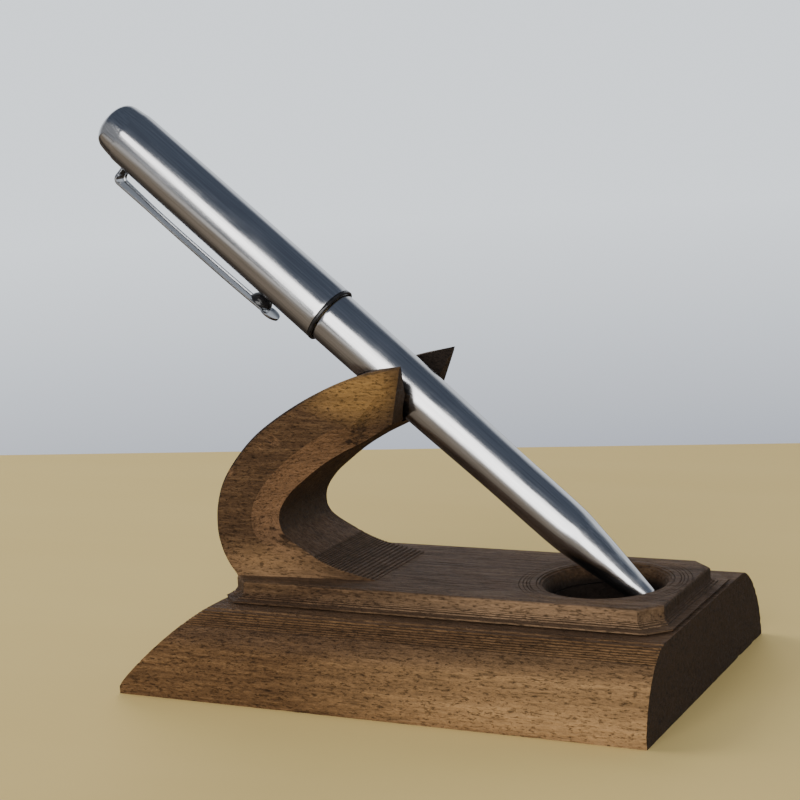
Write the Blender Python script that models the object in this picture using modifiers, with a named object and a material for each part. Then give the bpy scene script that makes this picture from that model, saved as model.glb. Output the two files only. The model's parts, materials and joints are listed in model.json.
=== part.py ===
"""Desk stand for a pen, with the pen in it.

A moulded plinth carries a deck with a round hollow; a C-shaped arm rises from the deck and ends in a fork.
A steel cap-twist ballpoint leans in the fork with its point in the hollow.

Frame: metres, +Z up, origin at the middle of the plinth's underside, +X towards the hollow.
Pen pieces are modelled along the local +Z axis of the empty "pen_axis": s = 0 is where the pen's axis
crosses the deck's top, and s grows towards the cap.
"""
import math

import bmesh
import bpy
from mathutils import Vector

MM = 0.001
GAP = 0.3              # clearance between pieces that touch, mm

# ---- driving dimensions, mm ------------------------------------------------------------------------
PLINTH_LENGTH = 96.3
PLINTH_WIDTH = 60.0
PLINTH_TOP_Z = 13.7
PLINTH_BAND = 1.3      # upright band at the foot of the mouldings
OVOLO_RUN = 9.35       # how far the front and back mouldings draw in
OVOLO_POWER = 1.65     # roundness of the moulding, 1 = straight, 2 = quarter ellipse
LEFT_RUN = 13.4        # how far the left end slopes in
LEFT_POWER = 1.1

DECK_BOTTOM_Z = PLINTH_TOP_Z + GAP
DECK_TOP_Z = 17.1
DECK_LEFT_X = -34.0
DECK_RIGHT_X = 45.26
DECK_HALF_WIDTH = 15.1
DECK_CHAMFER = 3.35
DECK_LIP = 0.25        # height of the thin edge that stands on the plinth
COVE_HEIGHT = 1.1
COVE_SIDE, COVE_LEFT, COVE_RIGHT = 2.9, 0.6, 2.3
DECK_EDGE_RADIUS = 0.5

HOLLOW_X = 30.9
HOLLOW_RADIUS = 9.85
HOLLOW_RIM = 2.2
HOLLOW_FLOOR_Z = 7.5

PEN_ANCHOR = (35.05, 0.0, 17.125)
PEN_TILT = math.radians(40.12)
FORK_GROOVE_TILT = math.radians(43.0)
FORK_GROOVE_RADIUS = 5.9
FORK_HALF_WIDTH = 10.7
FORK_INNER_HALF_WIDTH = 8.6

SCREW_X = -29.0
SCREW_Y = 5.5
SCREW_LENGTH = 25.0
SCREW_RADIUS = 1.9
SCREW_HEAD_RADIUS = 3.6
SCREW_TURNS = 11
SCREW_PITCH = 1.5

# Places along the pen, as s in mm.
BARREL_TOP = 68.4
CAP_BOTTOM = 69.9
CAP_END = 124.25
TIP_END = -6.8
REFILL_LENGTH = 98.0
PIN_S = 97.0
REFILL_STROKE = 5.0
CLIP_S = 117.3
CLIP_THICKNESS = 0.5
CLIP_WIDTH = 2.6
CLIP_BEND_RADIUS = 1.0
CLIP_DISC_RADIUS = 1.9
CLIP_DISC_X, CLIP_DISC_S = -7.49, 78.7
CLIP_DISC_LEAN = math.radians(2.9)
BALL_S = 81.2
BALL_CROWN_X = -5.58
SPRING_LOW, SPRING_HIGH = 5.05, 12.75
SPRING_RADIUS, SPRING_WIRE_RADIUS = 2.1, 0.2
SPRING_TURNS = 7.5
SPRING_POINTS = 120
SPRING_END_CLOSING = 0.096   # how much closer together the end coils are
SLOT_OVERRUN = 0.08    # share of the half turn that each helical slot runs on past the pin's stops
SLOT_POINTS = 28

# ---- scene, collections, materials -----------------------------------------------------------------
for old in list(bpy.data.objects):
    bpy.data.objects.remove(old, do_unlink=True)

parts = bpy.data.collections.new("pen_stand_with_pen")
cutters = bpy.data.collections.new("cutters")
for collection in (parts, cutters):
    bpy.context.scene.collection.children.link(collection)


def material(name, color, roughness, metallic=0.0):
    mat = bpy.data.materials.new(name)
    mat.use_nodes = True
    shader = mat.node_tree.nodes["Principled BSDF"]
    shader.inputs["Base Color"].default_value = (*color, 1.0)
    shader.inputs["Roughness"].default_value = roughness
    shader.inputs["Metallic"].default_value = metallic
    return mat


WOOD = material("walnut", (0.16, 0.08, 0.04), 0.65)
DARK_WOOD = material("dark_walnut", (0.11, 0.055, 0.03), 0.7)
STEEL = material("stainless_steel", (0.62, 0.62, 0.63), 0.25, 1.0)
BRASS = material("brass", (0.65, 0.48, 0.2), 0.35, 1.0)
BLACK = material("black_plastic", (0.015, 0.015, 0.016), 0.4)
ZINC = material("zinc_plated_steel", (0.5, 0.5, 0.5), 0.4, 1.0)
INK = material("blue_ink", (0.01, 0.015, 0.12), 0.3)


# ---- making pieces ---------------------------------------------------------------------------------
def link(obj, mat, parent=None):
    """A part with a material goes in the parts collection; a piece without one is a cutter."""
    if mat is None:
        cutters.objects.link(obj)
        obj.hide_render = True
        obj.display_type = "WIRE"
    else:
        parts.objects.link(obj)
        obj.data.materials.append(mat)
    obj.parent = parent
    return obj


def mesh_object(name, points, edges, faces, mat, parent=None):
    mesh = bpy.data.meshes.new(name)
    mesh.from_pydata([Vector(p) * MM for p in points], edges, faces)
    mesh.update()
    return link(bpy.data.objects.new(name, mesh), mat, parent)


def turned(name, profile, mat, parent=None, steps=32, location=(0, 0, 0)):
    """Turned piece: (radius, height) points run down the outside and, on a tube, back up the bore."""
    points = [(radius, 0.0, height) for radius, height in profile]
    count = len(points)
    on_axis = profile[0][0] == 0.0
    edges = [(i, i + 1) for i in range(count - 1)]
    if not on_axis:
        edges.append((count - 1, 0))
    obj = mesh_object(name, points, edges, [], mat, parent)
    obj.location = Vector(location) * MM
    screw = obj.modifiers.new("turn", "SCREW")
    screw.axis = "Z"
    screw.steps = steps
    screw.render_steps = steps
    screw.use_merge_vertices = True
    screw.merge_threshold = 0.00001
    screw.use_smooth_shade = True
    return obj


def ring_stack(name, rings, mat):
    """Closed body through rings of points that all have the same count, from the bottom up."""
    count = len(rings[0])
    points = [point for ring in rings for point in ring]
    faces = [tuple(reversed(range(count)))]
    for level in range(len(rings) - 1):
        base = level * count
        for i in range(count):
            j = (i + 1) % count
            faces.append((base + i, base + j, base + count + j, base + count + i))
    top = (len(rings) - 1) * count
    faces.append(tuple(range(top, top + count)))
    return mesh_object(name, points, [], faces, mat)


def outline_prism(name, outline, half_depth, mat, parent=None):
    """Flat outline of (x, z) points, thickened by half_depth to both sides along Y, as a mesh."""
    curve = bpy.data.curves.new(name, "CURVE")
    curve.dimensions = "2D"
    curve.fill_mode = "BOTH"
    curve.extrude = half_depth * MM
    spline = curve.splines.new("POLY")
    spline.points.add(len(outline) - 1)
    for point, (x, z) in zip(spline.points, outline):
        point.co = (x * MM, z * MM, 0.0, 1.0)
    spline.use_cyclic_u = True
    flat = bpy.data.objects.new(name + "_outline", curve)
    flat.rotation_euler = (math.pi / 2, 0.0, 0.0)
    return mesh_from_curve(flat, name, mat, parent)


def mesh_from_curve(curve_object, name, mat, parent=None):
    """Mesh of a curve object with its caps welded; the curve is removed."""
    bpy.context.scene.collection.objects.link(curve_object)
    bpy.context.view_layer.update()
    evaluated = curve_object.evaluated_get(bpy.context.evaluated_depsgraph_get())
    mesh = bpy.data.meshes.new_from_object(evaluated)
    mesh.transform(curve_object.matrix_world)
    mesh.materials.clear()
    work = bmesh.new()
    work.from_mesh(mesh)
    bmesh.ops.remove_doubles(work, verts=work.verts, dist=0.000001)
    bmesh.ops.recalc_face_normals(work, faces=work.faces)
    work.to_mesh(mesh)
    work.free()
    bpy.data.objects.remove(curve_object, do_unlink=True)
    return link(bpy.data.objects.new(name, mesh), mat, parent)


def wire(name, points, radius, mat, parent=None, resolution=2):
    """Round wire through the given points, closed at both ends."""
    curve = bpy.data.curves.new(name, "CURVE")
    curve.dimensions = "3D"
    curve.bevel_depth = radius * MM
    curve.bevel_resolution = resolution
    curve.use_fill_caps = True
    spline = curve.splines.new("POLY")
    spline.points.add(len(points) - 1)
    for point, place in zip(spline.points, points):
        point.co = (*(Vector(place) * MM), 1.0)
    return mesh_from_curve(bpy.data.objects.new(name + "_path", curve), name, mat, parent)


def box(name, low, high, parent=None):
    mesh = bpy.data.meshes.new(name)
    work = bmesh.new()
    bmesh.ops.create_cube(work, size=1.0)
    size = (Vector(high) - Vector(low)) * MM
    middle = (Vector(high) + Vector(low)) * MM / 2
    for vert in work.verts:
        vert.co = Vector((vert.co.x * size.x, vert.co.y * size.y, vert.co.z * size.z)) + middle
    work.to_mesh(mesh)
    work.free()
    return link(bpy.data.objects.new(name, mesh), None, parent)


def boolean(obj, other, operation="DIFFERENCE"):
    modifier = obj.modifiers.new(operation.lower(), "BOOLEAN")
    modifier.operation = operation
    modifier.solver = "EXACT"
    modifier.object = other


def smooth_by_angle(obj, degrees=35):
    obj.data.shade_smooth()
    obj.data.set_sharp_from_angle(angle=math.radians(degrees))


def blend_points(stations, t):
    """Catmull-Rom blend of equally long tuples of numbers; t runs from 0 to len(stations) - 1."""
    i = min(int(t), len(stations) - 2)
    u = t - i
    before = stations[max(i - 1, 0)]
    after = stations[min(i + 2, len(stations) - 1)]
    result = []
    for a, b, c, d in zip(before, stations[i], stations[i + 1], after):
        slope_b = (c - a) / 2
        slope_c = (d - b) / 2
        result.append((2 * u**3 - 3 * u**2 + 1) * b + (u**3 - 2 * u**2 + u) * slope_b
                      + (3 * u**2 - 2 * u**3) * c + (u**3 - u**2) * slope_c)
    return result


def arc(center, radius, start, end, steps):
    """(x, z) points on an arc, angles in degrees from +x."""
    angles = [math.radians(start + (end - start) * i / steps) for i in range(steps + 1)]
    return [(center[0] + radius * math.cos(a), center[1] + radius * math.sin(a)) for a in angles]


# ---- plinth ----------------------------------------------------------------------------------------
MOULDING_HEIGHT = PLINTH_TOP_Z - PLINTH_BAND
MOULDING_STEPS = 14


def draw_in(height, run, power):
    """How far a moulding has drawn in at a height above the upright band."""
    u = min(max(height - PLINTH_BAND, 0.0) / MOULDING_HEIGHT, 1.0)
    return run * (1.0 - (1.0 - u**power) ** (1.0 / power))


def plinth_ring(z):
    half = PLINTH_WIDTH / 2 - draw_in(z, OVOLO_RUN, OVOLO_POWER)
    left = -PLINTH_LENGTH / 2 + draw_in(z, LEFT_RUN, LEFT_POWER)
    right = PLINTH_LENGTH / 2
    return [(left, -half, z), (right, -half, z), (right, half, z), (left, half, z)]


plinth_heights = [0.0]
for i in range(MOULDING_STEPS + 1):
    plinth_heights.append(PLINTH_BAND + MOULDING_HEIGHT * math.sin(math.pi / 2 * i / MOULDING_STEPS))
plinth = ring_stack("plinth", [plinth_ring(z) for z in plinth_heights], DARK_WOOD)


# ---- cradle: deck and arm --------------------------------------------------------------------------
def deck_ring(z, side, left, right):
    """Plan of the deck, grown by side, left and right."""
    x0, x1 = DECK_LEFT_X - left, DECK_RIGHT_X + right
    y, c = DECK_HALF_WIDTH + side, DECK_CHAMFER
    return [(x0 + c, -y, z), (x1 - c, -y, z), (x1, -y + c, z), (x1, y - c, z),
            (x1 - c, y, z), (x0 + c, y, z), (x0, y - c, z), (x0, -y + c, z)]


deck_rings = [deck_ring(DECK_BOTTOM_Z, COVE_SIDE, COVE_LEFT, COVE_RIGHT)]
for i in range(7):
    climb = i / 6
    flare = 1.0 - math.sqrt(1.0 - (1.0 - climb) ** 2)
    height = DECK_BOTTOM_Z + DECK_LIP + COVE_HEIGHT * climb
    deck_rings.append(deck_ring(height, COVE_SIDE * flare, COVE_LEFT * flare, COVE_RIGHT * flare))
for i in range(4):
    turn = math.pi / 2 * i / 3
    inset = DECK_EDGE_RADIUS * (1.0 - math.cos(turn))
    height = DECK_TOP_Z - DECK_EDGE_RADIUS * (1.0 - math.sin(turn))
    deck_rings.append(deck_ring(height, -inset, -inset, -inset))
cradle = ring_stack("cradle", deck_rings, WOOD)

# Sections of the arm from its foot to the fork: x and z of the outer edge, x and z of the inner edge,
# half the width at the outer edge, at the crease and at the inner edge, and the crease's place between the
# two edges.
ARM_STATIONS = [
    (-33.6, 15.2, -1.0, 15.9, 12.0, 10.5, 9.6, 0.62),
    (-34.1, 17.1, -8.6, 17.5, 11.8, 10.4, 9.6, 0.62),
    (-35.6, 18.8, -15.9, 19.1, 11.5, 10.4, 9.4, 0.62),
    (-37.2, 21.6, -21.5, 21.6, 11.1, 10.5, 9.0, 0.62),
    (-38.0, 25.3, -25.6, 24.4, 10.8, 10.7, 8.7, 0.62),
    (-37.4, 30.2, -26.1, 27.9, FORK_HALF_WIDTH, FORK_HALF_WIDTH, FORK_INNER_HALF_WIDTH, 0.62),
    (-35.2, 35.0, -23.9, 31.3, FORK_HALF_WIDTH, FORK_HALF_WIDTH, FORK_INNER_HALF_WIDTH, 0.62),
    (-30.4, 40.6, -20.3, 34.3, FORK_HALF_WIDTH, FORK_HALF_WIDTH, FORK_INNER_HALF_WIDTH, 0.62),
    (-24.9, 44.8, -16.5, 37.0, FORK_HALF_WIDTH, FORK_HALF_WIDTH, FORK_INNER_HALF_WIDTH, 0.62),
    (-17.0, 49.2, -12.2, 39.4, FORK_HALF_WIDTH, FORK_HALF_WIDTH, FORK_INNER_HALF_WIDTH, 0.62),
    (-8.5, 52.6, -7.9, 41.4, FORK_HALF_WIDTH, FORK_HALF_WIDTH, FORK_INNER_HALF_WIDTH, 0.66),
    (0.78, 54.6, -2.6, 44.4, FORK_HALF_WIDTH, FORK_HALF_WIDTH, FORK_INNER_HALF_WIDTH, 0.08),
]
SECTIONS_PER_STATION = 4


def arm_ring(t):
    outer_x, outer_z, inner_x, inner_z, outer_y, crease_y, inner_y, share = blend_points(ARM_STATIONS, t)
    crease_x = outer_x + (inner_x - outer_x) * share
    crease_z = outer_z + (inner_z - outer_z) * share
    near = [(outer_x, -outer_y, outer_z), (crease_x, -crease_y, crease_z), (inner_x, -inner_y, inner_z)]
    return near + [(x, -y, z) for x, y, z in reversed(near)]


arm_sections = (len(ARM_STATIONS) - 1) * SECTIONS_PER_STATION
arm = ring_stack("arm", [arm_ring(i / SECTIONS_PER_STATION) for i in range(arm_sections + 1)], None)
boolean(cradle, arm, "UNION")


def along_pen(s, across=0.0):
    """World point on the pen's axis at s, moved across the axis (up and right is positive)."""
    x = PEN_ANCHOR[0] - s * math.cos(PEN_TILT) + across * math.sin(PEN_TILT)
    z = PEN_ANCHOR[2] + s * math.sin(PEN_TILT) + across * math.cos(PEN_TILT)
    return Vector((x, 0.0, z))


# Groove of the fork: round at the bottom, flared so that it runs out in the two tips.
groove = [(14.2, 11.0), (6.2, 1.2)]
groove += arc((0.0, 0.5), FORK_GROOVE_RADIUS, 0, -180, 16)
groove += [(-6.2, 1.2), (-14.2, 11.0)]
fork_cutter = outline_prism("fork_cutter", groove, 16.0, None)
fork_cutter.location = along_pen(44.5, -0.1) * MM
fork_cutter.rotation_mode = "ZYX"
fork_cutter.rotation_euler = (0.0, FORK_GROOVE_TILT, math.pi / 2)

# Hollow for the pen's point, through the deck and into the plinth.
hollow_profile = [(0.0, 19.0), (HOLLOW_RADIUS + HOLLOW_RIM, 19.0)]
rim_center = (HOLLOW_RADIUS + HOLLOW_RIM, DECK_TOP_Z + 0.05 - HOLLOW_RIM)
hollow_profile += arc(rim_center, HOLLOW_RIM, 90, 180, 6)
hollow_profile += arc((HOLLOW_RADIUS - 2.15, HOLLOW_FLOOR_Z + 2.0), 2.0, 0, -90, 6)
hollow_profile += [(0.0, HOLLOW_FLOOR_Z)]
hollow_cutter = turned("hollow_cutter", hollow_profile, None, steps=64, location=(HOLLOW_X, 0, 0))
boolean(cradle, hollow_cutter)
boolean(plinth, hollow_cutter)
boolean(cradle, fork_cutter)


# ---- screws under the stand ------------------------------------------------------------------------
def screw_profile(grow):
    """Countersunk screw, point up, its head just inside the underside; grow widens it into a hole."""
    head = SCREW_HEAD_RADIUS + grow
    shank = SCREW_RADIUS + grow
    top = 0.8 + SCREW_LENGTH + grow
    if grow > 0:
        return [(0.0, top), (shank, top - 2.0), (shank, 3.4), (head, 1.1), (head, -1.0), (0.0, -1.0)]
    thread = []
    for i in range(SCREW_TURNS):
        z = top - 2.0 - i * SCREW_PITCH
        thread += [(shank, z), (shank - 0.5, z - SCREW_PITCH / 2)]
    socket = [(1.3, 0.8), (1.3, 2.0), (0.0, 2.0)]
    return [(0.0, top)] + thread + [(shank - 0.4, 6.0), (shank - 0.4, 3.2), (head, 1.2), (head, 0.8)] + socket


for name, y in (("stand_screw_front", -SCREW_Y), ("stand_screw_rear", SCREW_Y)):
    place = (SCREW_X, y, 0)
    turned(name, screw_profile(0.0), ZINC, steps=24, location=place)
    hole = turned(name + "_hole", screw_profile(GAP), None, steps=24, location=place)
    boolean(plinth, hole)
    boolean(cradle, hole)

# ---- pen -------------------------------------------------------------------------------------------
pen_axis = bpy.data.objects.new("pen_axis", None)
parts.objects.link(pen_axis)
pen_axis.location = Vector(PEN_ANCHOR) * MM
pen_axis.rotation_euler = (0.0, PEN_TILT - math.pi / 2, 0.0)


def pen_piece(name, profile, mat, steps=32):
    return turned(name, profile, mat, pen_axis, steps)


barrel_outside = [(4.80, BARREL_TOP), (4.76, 60.8), (4.59, 44.7), (4.41, 36.0), (4.25, 27.4), (4.25, 13.9),
                  (4.02, 11.4), (3.64, 8.8), (3.22, 5.5), (2.72, 2.2), (2.35, -0.3), (2.08, -2.0),
                  (1.75, -4.4)]
barrel_bore = [(1.4, -4.4), (1.4, 4.8), (2.65, 4.8), (3.3, 9.5), (3.7, 13.9), (3.7, 27.4), (4.26, 60.8),
               (4.3, BARREL_TOP)]
pen_piece("pen_barrel", barrel_outside + barrel_bore, STEEL, steps=40)

cap_outside = [(0.0, CAP_END), (2.2, 124.12), (3.5, 123.85), (4.2, 123.4), (4.6, 122.7), (4.8, 121.7),
               (5.05, 119.5), (5.18, 117.0), (5.26, 76.0), (5.3, CAP_BOTTOM)]
cap_bore = [(4.89, CAP_BOTTOM), (4.75, 117.0), (4.62, 119.5), (4.35, 121.7), (3.9, 122.6), (0.0, 123.3)]
cap_shell = pen_piece("cap_shell", cap_outside + cap_bore, STEEL, steps=40)
clip_slot = box("clip_slot", (-6.2, -CLIP_WIDTH / 2 - GAP, CLIP_S - 0.6),
                (-4.4, CLIP_WIDTH / 2 + GAP, CLIP_S + 0.6), pen_axis)
boolean(cap_shell, clip_slot)

pen_piece("cap_ring", [(5.33, 69.6), (5.33, 68.7), (4.75, 68.7), (4.75, 69.6)], BLACK, steps=40)

# Connector: its lower part stands in the barrel, its upper part in the cap.
pen_piece("connector", [(4.55, 74.5), (4.55, 72.6), (4.1, 72.6), (4.1, 71.2), (4.55, 71.2), (4.55, 68.7),
                        (3.95, 68.7), (3.95, 60.0), (3.25, 60.0), (3.25, 70.0), (3.75, 70.0),
                        (3.75, 74.5)], BRASS)
pen_piece("friction_ring", [(4.62, 72.2), (4.68, 71.9), (4.62, 71.6), (4.35, 71.6), (4.35, 72.2)], BLACK)

# Cam tube: fast on the connector, with two helical slots half a turn long.
cam_tube = pen_piece("cam_tube", [(3.85, 105.5), (3.85, 74.8), (3.5, 74.8), (3.5, 70.3), (3.2, 70.3),
                                  (3.2, 74.0), (3.3, 74.8), (3.3, 105.5)], BRASS)
for start in (0.5, 1.5):
    helix = []
    for i in range(SLOT_POINTS + 1):
        turn = -SLOT_OVERRUN + (1.0 + 2 * SLOT_OVERRUN) * i / SLOT_POINTS
        angle = math.pi * (start + turn)
        helix.append((3.6 * math.cos(angle), 3.6 * math.sin(angle), PIN_S + REFILL_STROKE * turn))
    slot = wire("helical_slot", helix, 0.8, None, pen_axis)
    boolean(cam_tube, slot)

# Drive sleeve: fast in the cap, with two straight slots for the pin.
drive_sleeve = pen_piece("drive_sleeve", [(4.6, 110.0), (4.6, 84.0), (4.15, 84.0), (4.15, 110.0)], ZINC)
straight_slot = box("straight_slot", (-0.85, -5.0, PIN_S - 2.0),
                    (0.85, 5.0, PIN_S + REFILL_STROKE + 2.0), pen_axis)
boolean(drive_sleeve, straight_slot)

refill_top = TIP_END + REFILL_LENGTH
plunger = pen_piece("plunger", [(0.0, PIN_S + 2.5), (3.0, PIN_S + 2.5), (3.0, refill_top + GAP),
                                (0.0, refill_top + GAP)], BRASS)
pin_hole = wire("pin_hole", [(0, -5, PIN_S), (0, 5, PIN_S)], 0.45 + GAP, None, pen_axis)
boolean(plunger, pin_hole)
wire("plunger_pin", [(0, -4.5, PIN_S), (0, 4.5, PIN_S)], 0.45, STEEL, pen_axis)

cap_plug = pen_piece("cap_plug", [(0.0, 119.0), (4.2, 119.0), (4.4, 118.7), (4.58, 110.3), (3.9, 110.3),
                                  (3.9, 106.5), (0.0, 106.5)], BLACK)
tongue_pocket = box("tongue_pocket", (-5.2, -CLIP_WIDTH / 2 - GAP, CLIP_S - 0.55),
                    (-3.4, CLIP_WIDTH / 2 + GAP, CLIP_S + 0.55), pen_axis)
boolean(cap_plug, tongue_pocket)

# Refill.
point_start = TIP_END + 0.75
pen_piece("writing_ball", [(0.0, TIP_END + 0.7)]
          + arc((0.0, TIP_END + 0.35), 0.35, 72, -72, 8) + [(0.0, TIP_END)], STEEL, steps=16)
pen_piece("refill_point", [(0.85, 8.0), (0.85, 5.0), (1.1, 5.0), (1.1, -4.7), (0.5, point_start),
                           (0.3, point_start), (0.3, 8.0)], BRASS, steps=24)
pen_piece("refill_tube", [(2.9, 86.0), (2.9, 14.5), (1.55, 13.0), (1.55, 5.3), (1.15, 5.3), (1.15, 13.0),
                          (2.5, 14.5), (2.5, 86.0)], ZINC)
pen_piece("refill_plug", [(2.9, refill_top), (2.9, 86.3), (2.2, 86.3), (2.2, 83.0), (0.6, 83.0),
                          (0.6, refill_top)], BLACK)
pen_piece("ink", [(0.0, 62.0), (2.2, 62.0), (2.2, 15.2), (0.8, 13.4), (0.8, 8.4), (0.0, 8.4)], INK)

# Return spring: closed coils at both ends, open ones between.
spring_points = []
for i in range(SPRING_POINTS + 1):
    share = i / SPRING_POINTS
    rise_share = share - SPRING_END_CLOSING * math.sin(2 * math.pi * share)
    angle = 2 * math.pi * SPRING_TURNS * share
    spring_points.append((SPRING_RADIUS * math.cos(angle), SPRING_RADIUS * math.sin(angle),
                          SPRING_LOW + (SPRING_HIGH - SPRING_LOW) * rise_share))
return_spring = wire("return_spring", spring_points, SPRING_WIRE_RADIUS, STEEL, pen_axis, resolution=1)


# ---- clip ------------------------------------------------------------------------------------------
def strip_outline(path, thickness):
    """Outline of a strip of even thickness along an (x, z) path."""
    left, right = [], []
    for i, point in enumerate(path):
        here = Vector(point)
        ahead = Vector(path[min(i + 1, len(path) - 1)])
        behind = Vector(path[max(i - 1, 0)])
        direction = (ahead - behind).normalized()
        normal = Vector((-direction.y, direction.x)) * thickness / 2
        left.append(tuple(here + normal))
        right.append(tuple(here - normal))
    return left + right[::-1]


clip_path = [(-4.0, CLIP_S), (-6.9, CLIP_S)]
clip_path += arc((-6.9, CLIP_S - CLIP_BEND_RADIUS), CLIP_BEND_RADIUS, 90, 180, 5)[1:]
clip_path += [(-7.95, 108.0), (-8.0, 100.0), (-7.85, 88.0), (-7.6, 81.0), (-7.4, 77.0)]
clip = outline_prism("clip", strip_outline(clip_path, CLIP_THICKNESS), CLIP_WIDTH / 2, STEEL, pen_axis)

# The strip ends in a round disc, which leans with it.
half_disc = CLIP_THICKNESS * 0.62
disc_profile = [(0.0, half_disc), (CLIP_DISC_RADIUS, half_disc), (CLIP_DISC_RADIUS, -half_disc),
                (0.0, -half_disc)]
clip_disc = turned("clip_disc", disc_profile, None, pen_axis, steps=32)
clip_disc.location = Vector((CLIP_DISC_X, 0.0, CLIP_DISC_S)) * MM
clip_disc.rotation_euler = (0.0, math.pi / 2 - CLIP_DISC_LEAN, 0.0)
boolean(clip, clip_disc, "UNION")

# Boss under the clip's end, turned on an axis across the pen; its crown faces the cap.
ball_profile = [(0.0, 0.0), (0.8, -0.12), (1.4, -0.45), (1.75, -0.95), (1.85, -1.35), (0.0, -1.35)]
clip_ball = turned("clip_ball", ball_profile, BLACK, pen_axis, steps=24)
clip_ball.location = Vector((BALL_CROWN_X, 0.0, BALL_S)) * MM
clip_ball.rotation_euler = (0.0, math.pi / 2, 0.0)

for piece in (plinth, cradle, clip, return_spring):
    smooth_by_angle(piece)
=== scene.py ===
"""Looks of the desk pen stand with its pen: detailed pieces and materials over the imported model.

Lengths are in millimetres until a piece is made, and pieces are in metres. Pen pieces are made along the
local Z axis of the pen: s = 0 is where the pen's axis crosses the deck's top, and s grows towards the cap.
"""
import json
import math

import bpy
from mathutils import Matrix, Vector, noise


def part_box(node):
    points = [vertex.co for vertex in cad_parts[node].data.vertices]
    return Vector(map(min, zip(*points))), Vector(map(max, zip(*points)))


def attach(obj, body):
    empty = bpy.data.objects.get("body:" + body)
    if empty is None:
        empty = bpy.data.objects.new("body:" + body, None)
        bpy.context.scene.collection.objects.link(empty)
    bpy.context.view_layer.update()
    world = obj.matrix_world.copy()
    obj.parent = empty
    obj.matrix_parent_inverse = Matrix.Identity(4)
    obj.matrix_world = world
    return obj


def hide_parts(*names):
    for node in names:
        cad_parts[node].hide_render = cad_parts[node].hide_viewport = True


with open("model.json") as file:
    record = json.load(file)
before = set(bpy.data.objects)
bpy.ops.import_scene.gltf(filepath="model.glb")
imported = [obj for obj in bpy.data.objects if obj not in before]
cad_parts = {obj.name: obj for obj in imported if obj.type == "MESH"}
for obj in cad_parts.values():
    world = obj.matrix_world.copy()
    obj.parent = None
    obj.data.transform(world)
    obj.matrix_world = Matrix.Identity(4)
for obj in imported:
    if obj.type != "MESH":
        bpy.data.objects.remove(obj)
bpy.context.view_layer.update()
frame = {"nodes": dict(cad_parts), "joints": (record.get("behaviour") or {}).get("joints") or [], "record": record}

MM = 0.001
SHARP_DEGREES = 32          # smooth shading breaks at edges sharper than this
WORKED_SHARP_DEGREES = 14   # the same on the cradle, where the cutter's fine lines must show

# ---- places and sizes from the frame, mm -----------------------------------------------------------
plinth_low, plinth_high = (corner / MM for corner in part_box("plinth"))
cradle_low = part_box("cradle")[0] / MM
joints = {joint["name"]: joint for joint in frame["joints"]}

CAP_TWIST_S = 90.0      # place of the cap_twist joint along the pen
pen_direction = Vector(joints["cap_twist"]["axis"]).normalized()
pen_origin = Vector(joints["cap_twist"]["pos_m"]) / MM - pen_direction * CAP_TWIST_S
pen_across = Vector((0, 1, 0)).cross(pen_direction)
pen_matrix = Matrix((pen_across, Vector((0, 1, 0)), pen_direction)).transposed().to_4x4()
pen_matrix.translation = pen_origin * MM

PLINTH_BAND = 1.3
OVOLO_RUN, OVOLO_POWER = 9.35, 1.65
LEFT_RUN, LEFT_POWER = 13.4, 1.1
DECK_TOP_Z = 17.1
DECK_LEFT_X, DECK_RIGHT_X = -34.0, 45.26
DECK_HALF_WIDTH = 15.1
DECK_CHAMFER = 3.35
DECK_EDGE_RADIUS = 0.5
COVE_HEIGHT, COVE_SIDE, COVE_LEFT, COVE_RIGHT = 1.1, 2.9, 0.6, 2.3
HOLLOW_X, HOLLOW_RADIUS, HOLLOW_RIM, HOLLOW_FLOOR_Z = 30.9, 9.85, 2.2, 7.5
HOLLOW_FLOOR_FILLET, HOLLOW_FLOOR_INSET = 2.0, 2.15
CUT_TOP_Z = 19.0        # the hollow's cutter ends here, above the deck
GROOVE_S, GROOVE_TILT, GROOVE_RADIUS = 44.5, math.radians(43.0), 5.9
FORK_HALF_WIDTH, FORK_INNER_HALF_WIDTH = 10.7, 8.6

# The worked wood's surface: fibres, chatter from the cutter and small chips, with their waves per mm.
GRAIN_DEPTH = 0.11
FIBRE_WAVES = (0.05, 0.9, 1.1)
CHATTER_WAVES, CHATTER_SHIFT = 0.7, 40.0
NICK_DEPTH, NICK_LEVEL = 0.55, 0.35
NICK_WAVES, NICK_SHIFT = 0.45, 9.0


# ---- making meshes ---------------------------------------------------------------------------------
def piece(name, points, faces, matrix=None, sharp_degrees=SHARP_DEGREES):
    """Object from points in mm, with smooth shading broken at sharp edges."""
    mesh = bpy.data.meshes.new(name)
    mesh.from_pydata([Vector(point) * MM for point in points], [], faces)
    mesh.update()
    mesh.shade_smooth()
    mesh.set_sharp_from_angle(angle=math.radians(sharp_degrees))
    obj = bpy.data.objects.new(name, mesh)
    bpy.context.scene.collection.objects.link(obj)
    if matrix:
        obj.matrix_world = matrix
    return obj


def ring_stack(name, rings):
    """Closed body through rings of equally many points, from the bottom up."""
    count = len(rings[0])
    points = [point for ring in rings for point in ring]
    faces = [tuple(reversed(range(count)))]
    for level in range(len(rings) - 1):
        base = level * count
        for i in range(count):
            j = (i + 1) % count
            faces.append((base + i, base + j, base + count + j, base + count + i))
    top = (len(rings) - 1) * count
    faces.append(tuple(range(top, top + count)))
    return piece(name, points, faces)


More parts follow.
